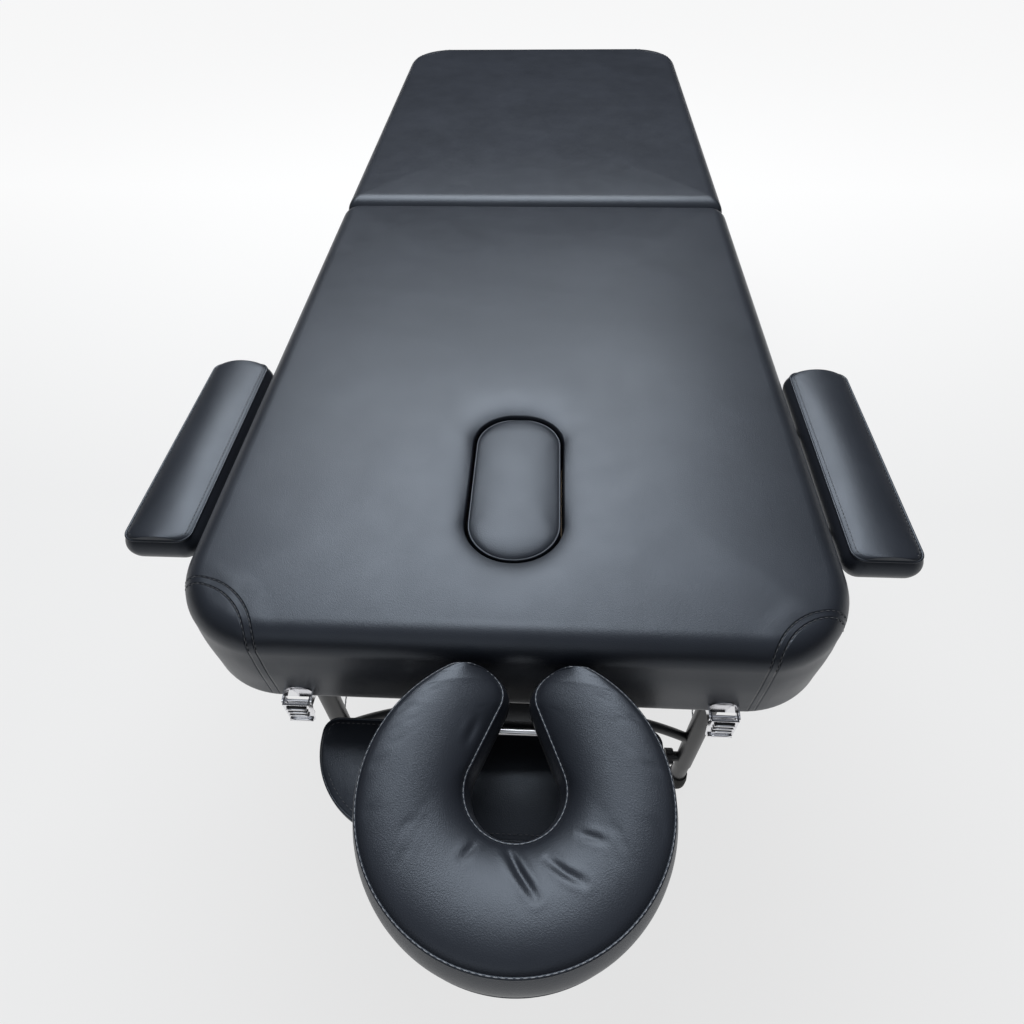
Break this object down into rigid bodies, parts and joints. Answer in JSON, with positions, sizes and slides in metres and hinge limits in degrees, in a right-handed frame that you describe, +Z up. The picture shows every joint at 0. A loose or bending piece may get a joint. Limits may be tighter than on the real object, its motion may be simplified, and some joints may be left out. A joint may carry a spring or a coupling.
{
  "type": "folding massage table",
  "caption": "Folding black vinyl massage table with telescopic legs, side armrests, a tilting face cradle and an arm sling.",
  "frame": {"origin": "on the floor under the middle of the whole table's box", "axes": "+Z up, +Y from the head end with the face cradle towards the foot end, +X to the right seen from the head end"},
  "size_m": [0.916, 2.134, 0.634],
  "materials": {
    "black_vinyl": "satin",
    "webbing": "matte",
    "plywood": "satin",
    "black_rail": "satin",
    "black_tube": "satin",
    "black_plastic": "matte",
    "rubber": "matte",
    "bright_steel": "satin",
    "chrome": "polished",
    "brass": "satin"
  },
  "bodies": {
    "head_panel": {"head_cushion": "black_vinyl", "head_deck": "plywood", "head_left_rail": "black_rail", "head_right_rail": "black_rail", "head_end_rail": "black_rail", "head_hinge_rail": "black_rail", "head_hinge_leaves": "bright_steel", "head_leg_brackets": "black_tube", "accessory_bushings": "brass", "latch_bases": "chrome", "head_handle": "webbing"},
    "foot_panel": {"foot_cushion": "black_vinyl", "foot_deck": "plywood", "foot_left_rail": "black_rail", "foot_right_rail": "black_rail", "foot_end_rail": "black_rail", "foot_hinge_rail": "black_rail", "foot_hinge_leaves": "bright_steel", "foot_leg_brackets": "black_tube", "latch_catches": "chrome", "foot_handle": "webbing"},
    "head_leg_frame": {"head_left_outer_leg": "black_tube", "head_right_outer_leg": "black_tube", "head_cross_tubes": "black_tube", "head_stay_cables": "bright_steel"},
    "head_left_height_leg": {"head_left_inner_leg": "black_tube", "head_left_foot": "rubber"},
    "head_left_clamp_knob": {"head_left_knob": "black_plastic"},
    "head_right_height_leg": {"head_right_inner_leg": "black_tube", "head_right_foot": "rubber"},
    "head_right_clamp_knob": {"head_right_knob": "black_plastic"},
    "foot_leg_frame": {"foot_left_outer_leg": "black_tube", "foot_right_outer_leg": "black_tube", "foot_cross_tubes": "black_tube", "foot_stay_cables": "bright_steel"},
    "foot_left_height_leg": {"foot_left_inner_leg": "black_tube", "foot_left_foot": "rubber"},
    "foot_left_clamp_knob": {"foot_left_knob": "black_plastic"},
    "foot_right_height_leg": {"foot_right_inner_leg": "black_tube", "foot_right_foot": "rubber"},
    "foot_right_clamp_knob": {"foot_right_knob": "black_plastic"},
    "hole_plug": {"breath_hole_plug": "black_vinyl"},
    "left_latch": {"left_latch_lever": "chrome"},
    "left_claw": {"left_latch_claw": "chrome"},
    "left_armrest": {"left_armrest_pad": "black_vinyl", "left_armrest_carrier": "black_tube"},
    "right_latch": {"right_latch_lever": "chrome"},
    "right_claw": {"right_latch_claw": "chrome"},
    "right_armrest": {"right_armrest_pad": "black_vinyl", "right_armrest_carrier": "black_tube"},
    "cradle_mount": {"cradle_base": "black_plastic", "arm_rod": "bright_steel"},
    "cradle_lift": {"cradle_arms": "black_tube", "tilt_rod": "bright_steel"},
    "face_rest": {"face_platform": "black_rail", "face_cushion": "black_vinyl"},
    "arm_clamp": {"arm_lever": "black_plastic"},
    "tilt_clamp": {"tilt_lever": "black_plastic"},
    "sling": {"arm_sling": "black_vinyl", "sling_straps": "webbing"}
  },
  "joints": [
    {"name": "panel_fold", "type": "hinge", "parent": "head_panel", "child": "foot_panel", "pos_m": [0, 0.132, 0.498], "axis": [-1, 0, 0], "range_deg": [0, 180]},
    {"name": "head_leg_fold", "type": "hinge", "parent": "head_panel", "child": "head_leg_frame", "pos_m": [0, -0.688, 0.531], "axis": [1, 0, 0], "range_deg": [0, 90], "deforming": ["head_stay_cables"]},
    {"name": "head_left_height", "type": "slide", "parent": "head_leg_frame", "child": "head_left_height_leg", "axis": [0, 0, -1], "range_m": [0, 0.2]},
    {"name": "head_left_knob_turn", "type": "hinge", "parent": "head_leg_frame", "child": "head_left_clamp_knob", "pos_m": [-0.27, -0.688, 0.101], "axis": [1, 0, 0], "range_deg": [0, 360]},
    {"name": "head_right_height", "type": "slide", "parent": "head_leg_frame", "child": "head_right_height_leg", "axis": [0, 0, -1], "range_m": [0, 0.2]},
    {"name": "head_right_knob_turn", "type": "hinge", "parent": "head_leg_frame", "child": "head_right_clamp_knob", "pos_m": [0.27, -0.688, 0.101], "axis": [-1, 0, 0], "range_deg": [0, 360]},
    {"name": "foot_leg_fold", "type": "hinge", "parent": "foot_panel", "child": "foot_leg_frame", "pos_m": [0, 0.952, 0.531], "axis": [-1, 0, 0], "range_deg": [0, 90], "deforming": ["foot_stay_cables"]},
    {"name": "foot_left_height", "type": "slide", "parent": "foot_leg_frame", "child": "foot_left_height_leg", "axis": [0, 0, -1], "range_m": [0, 0.2]},
    {"name": "foot_left_knob_turn", "type": "hinge", "parent": "foot_leg_frame", "child": "foot_left_clamp_knob", "pos_m": [-0.31, 0.952, 0.101], "axis": [1, 0, 0], "range_deg": [0, 360]},
    {"name": "foot_right_height", "type": "slide", "parent": "foot_leg_frame", "child": "foot_right_height_leg", "axis": [0, 0, -1], "range_m": [0, 0.2]},
    {"name": "foot_right_knob_turn", "type": "hinge", "parent": "foot_leg_frame", "child": "foot_right_clamp_knob", "pos_m": [0.31, 0.952, 0.101], "axis": [-1, 0, 0], "range_deg": [0, 360]},
    {"name": "plug_lift", "type": "slide", "parent": "head_panel", "child": "hole_plug", "axis": [0, 0, 1], "range_m": [0, 0.09]},
    {"name": "left_latch_turn", "type": "hinge", "parent": "head_panel", "child": "left_latch", "pos_m": [-0.224, -0.807, 0.511], "axis": [-1, 0, 0], "range_deg": [0, 120]},
    {"name": "left_claw_turn", "type": "hinge", "parent": "left_latch", "child": "left_claw", "pos_m": [-0.224, -0.8091, 0.5054], "axis": [1, 0, 0], "range_deg": [-3, 50]},
    {"name": "left_armrest_slide", "type": "slide", "parent": "head_panel", "child": "left_armrest", "axis": [-1, 0, 0], "range_m": [0, 0.035]},
    {"name": "right_latch_turn", "type": "hinge", "parent": "head_panel", "child": "right_latch", "pos_m": [0.224, -0.807, 0.511], "axis": [-1, 0, 0], "range_deg": [0, 120]},
    {"name": "right_claw_turn", "type": "hinge", "parent": "right_latch", "child": "right_claw", "pos_m": [0.224, -0.8091, 0.5054], "axis": [1, 0, 0], "range_deg": [-3, 50]},
    {"name": "right_armrest_slide", "type": "slide", "parent": "head_panel", "child": "right_armrest", "axis": [1, 0, 0], "range_m": [0, 0.035]},
    {"name": "cradle_slide", "type": "slide", "parent": "head_panel", "child": "cradle_mount", "axis": [0, -1, 0], "range_m": [0, 0.07]},
    {"name": "cradle_arm_turn", "type": "hinge", "parent": "cradle_mount", "child": "cradle_lift", "pos_m": [0, -0.837, 0.523], "axis": [-1, 0, 0], "range_deg": [-25, 6]},
    {"name": "face_tilt", "type": "hinge", "parent": "cradle_lift", "child": "face_rest", "pos_m": [0, -0.976, 0.54], "axis": [-1, 0, 0], "range_deg": [-30, 4]},
    {"name": "arm_lever_turn", "type": "hinge", "parent": "cradle_mount", "child": "arm_clamp", "pos_m": [0.112, -0.837, 0.523], "axis": [0, 0, 1], "range_deg": [0, 100]},
    {"name": "tilt_lever_turn", "type": "hinge", "parent": "cradle_lift", "child": "tilt_clamp", "pos_m": [0.103, -0.976, 0.54], "axis": [0, 0, -1], "range_deg": [0, 100]},
    {"name": "sling_swing", "type": "hinge", "parent": "cradle_mount", "child": "sling", "pos_m": [0, -0.868, 0.505], "axis": [-1, 0, 0], "range_deg": [-12, 20]}
  ],
  "couplings": [
    {"joint": "head_leg_fold", "follows": "panel_fold", "ratio": 0.5},
    {"joint": "foot_leg_fold", "follows": "panel_fold", "ratio": 0.5}
  ]
}
